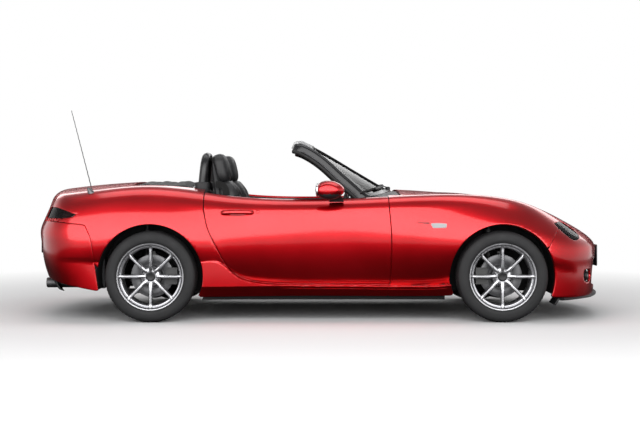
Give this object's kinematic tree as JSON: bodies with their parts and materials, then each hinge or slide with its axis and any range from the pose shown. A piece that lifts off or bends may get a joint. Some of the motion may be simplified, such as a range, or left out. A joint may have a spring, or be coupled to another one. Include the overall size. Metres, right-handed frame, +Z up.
{
  "type": "convertible car",
  "caption": "Open two-seat roadster with doors, bonnet and boot lid on hinges, steered front wheels and a stowed soft top.",
  "frame": {"origin": "on the floor under the middle of the car's length and width", "axes": "+X forward, +Y to the car's left, +Z up"},
  "size_m": [3.914, 1.968, 1.3984],
  "materials": {
    "red_paint": "glossy metallic red clearcoat",
    "body_steel": "dark primer and paint",
    "black_plastic": "matte black",
    "dash_plastic": "matte black grained",
    "hoop_plastic": "matte black",
    "frame_metal": "silver grey satin",
    "clear_glass": "clear",
    "lamp_glass": "clear lens",
    "black_leather": "smooth",
    "seat_leather": "black, soft sheen",
    "top_fabric": "black canvas",
    "tyre": "matte rubber",
    "alloy": "bright silver",
    "disc_iron": "machined",
    "chassis_steel": "black satin",
    "engine_iron": "cast",
    "exhaust_steel": "dull steel",
    "antenna_metal": "dark grey"
  },
  "bodies": {
    "root": {"front_bumper": "red_paint", "rear_bumper": "red_paint", "wing_left": "red_paint", "wing_right": "red_paint", "side_left": "red_paint", "side_right": "red_paint", "antenna": "antenna_metal", "cowl": "black_plastic", "front_body": "body_steel", "floor_pan": "body_steel", "rear_body": "body_steel", "rear_floor": "body_steel", "rear_crossmember": "body_steel", "rear_shelf": "body_steel", "windscreen_glass": "clear_glass", "windscreen_frame": "frame_metal", "dashboard": "dash_plastic", "console": "dash_plastic", "seat_left": "seat_leather", "seat_right": "seat_leather", "roll_hoops": "hoop_plastic", "folded_top": "top_fabric", "headlamps": "lamp_glass", "tail_lamps": "lamp_glass", "fog_lamps": "lamp_glass", "repeaters": "lamp_glass", "front_lip": "black_plastic", "grille": "black_plastic", "diffuser": "black_plastic", "front_axle": "chassis_steel", "rear_axle": "chassis_steel", "engine": "engine_iron", "exhaust": "exhaust_steel"},
    "left_door": {"door_left": "red_paint", "mirror_left": "red_paint"},
    "right_door": {"door_right": "red_paint", "mirror_right": "red_paint"},
    "bonnet": {"bonnet": "red_paint"},
    "boot_lid": {"boot_lid": "red_paint"},
    "steering_wheel": {"steering_wheel": "black_leather"},
    "left_knuckle": {"knuckle_left": "chassis_steel"},
    "right_knuckle": {"knuckle_right": "chassis_steel"},
    "front_left_wheel": {"tyre_front_left": "tyre", "rim_front_left": "alloy", "brake_disc_front_left": "disc_iron"},
    "front_right_wheel": {"tyre_front_right": "tyre", "rim_front_right": "alloy", "brake_disc_front_right": "disc_iron"},
    "rear_left_wheel": {"tyre_rear_left": "tyre", "rim_rear_left": "alloy", "brake_disc_rear_left": "disc_iron"},
    "rear_right_wheel": {"tyre_rear_right": "tyre", "rim_rear_right": "alloy", "brake_disc_rear_right": "disc_iron"}
  },
  "joints": [
    {"name": "steer_left", "type": "hinge", "parent": "root", "child": "left_knuckle", "pos_m": [1.198, 0.684, 0.3], "axis": [0, 0, 1], "range_deg": [-32, 32]},
    {"name": "steer_right", "type": "hinge", "parent": "root", "child": "right_knuckle", "pos_m": [1.198, -0.684, 0.3], "axis": [0, 0, 1], "range_deg": [-32, 32]},
    {"name": "steering_wheel_turn", "type": "hinge", "parent": "root", "child": "steering_wheel", "pos_m": [0.06, 0.36, 0.648], "axis": [-0.9272, 0, 0.3746], "range_deg": [-448, 448]},
    {"name": "left_door_hinge", "type": "hinge", "parent": "root", "child": "left_door", "pos_m": [0.355, 0.79, 0.58], "axis": [0, 0, -1], "range_deg": [0, 65]},
    {"name": "right_door_hinge", "type": "hinge", "parent": "root", "child": "right_door", "pos_m": [0.355, -0.79, 0.58], "axis": [0, 0, 1], "range_deg": [0, 65]},
    {"name": "bonnet_hinge", "type": "hinge", "parent": "root", "child": "bonnet", "pos_m": [0.524, 0, 0.834], "axis": [0, -1, 0], "range_deg": [0, 50]},
    {"name": "boot_hinge", "type": "hinge", "parent": "root", "child": "boot_lid", "pos_m": [-1.26, 0, 0.905], "axis": [0, 1, 0], "range_deg": [0, 70]},
    {"name": "front_left_spin", "type": "hinge", "parent": "left_knuckle", "child": "front_left_wheel", "pos_m": [1.198, 0.75, 0.3], "axis": [0, 1, 0], "continuous": true},
    {"name": "front_right_spin", "type": "hinge", "parent": "right_knuckle", "child": "front_right_wheel", "pos_m": [1.198, -0.75, 0.3], "axis": [0, 1, 0], "continuous": true},
    {"name": "rear_left_spin", "type": "hinge", "parent": "root", "child": "rear_left_wheel", "pos_m": [-1.112, 0.75, 0.3], "axis": [0, 1, 0], "continuous": true},
    {"name": "rear_right_spin", "type": "hinge", "parent": "root", "child": "rear_right_wheel", "pos_m": [-1.112, -0.75, 0.3], "axis": [0, 1, 0], "continuous": true}
  ],
  "couplings": [
    {"joint": "steer_right", "follows": "steer_left", "ratio": 1},
    {"joint": "steering_wheel_turn", "follows": "steer_left", "ratio": 14}
  ]
}
